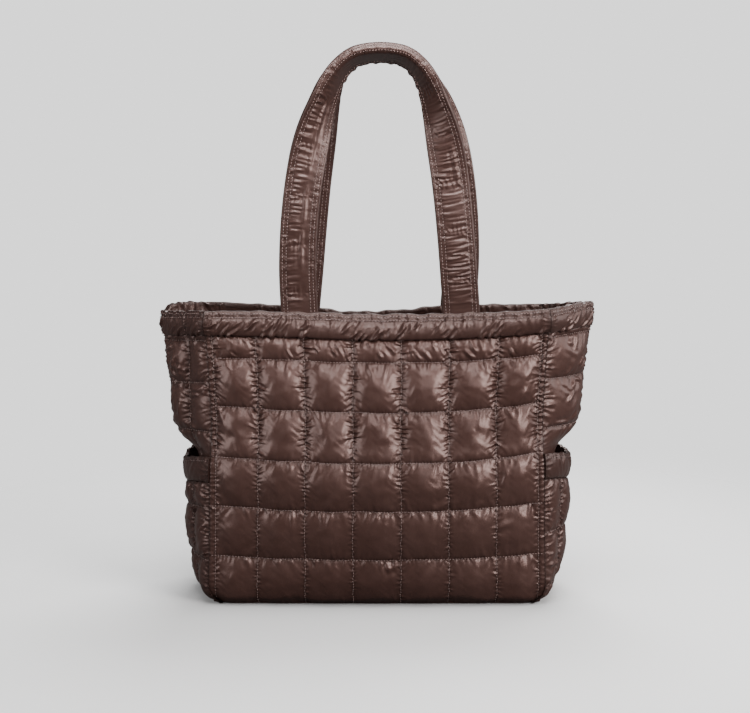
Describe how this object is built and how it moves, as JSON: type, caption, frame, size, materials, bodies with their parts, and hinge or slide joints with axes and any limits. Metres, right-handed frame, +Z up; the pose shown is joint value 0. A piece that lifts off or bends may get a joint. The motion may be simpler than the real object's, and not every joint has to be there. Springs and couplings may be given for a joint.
{
  "type": "quilted puffer tote bag",
  "caption": "Puffy quilted nylon tote bag with folding side gussets, slip pockets at the ends and two long padded shoulder handles.",
  "frame": {"origin": "on the floor under the middle of the base, which is the bottom centre of the bag's box", "axes": "+Z up, +X to the right as seen from the front, +Y from the front panel to the back panel"},
  "size_m": [0.4532, 0.1778, 0.5763],
  "materials": {
    "shell": "glossy quilted nylon, padded, dark brown",
    "trim": "glossy nylon over a soft roll, topstitched, dark brown",
    "strap": "glossy nylon over flat padding, edge stitched, dark brown"
  },
  "bodies": {
    "root": {"front_panel": "shell", "back_panel": "shell", "left_gusset": "shell", "right_gusset": "shell", "bottom_panel": "shell", "front_rim_band": "trim", "right_rim_band": "trim", "back_rim_band": "trim", "left_rim_band": "trim", "left_pocket": "shell", "left_pocket_band": "trim", "right_pocket": "shell", "right_pocket_band": "trim", "front_handle": "strap", "back_handle": "strap"}
  },
  "joints": []
}
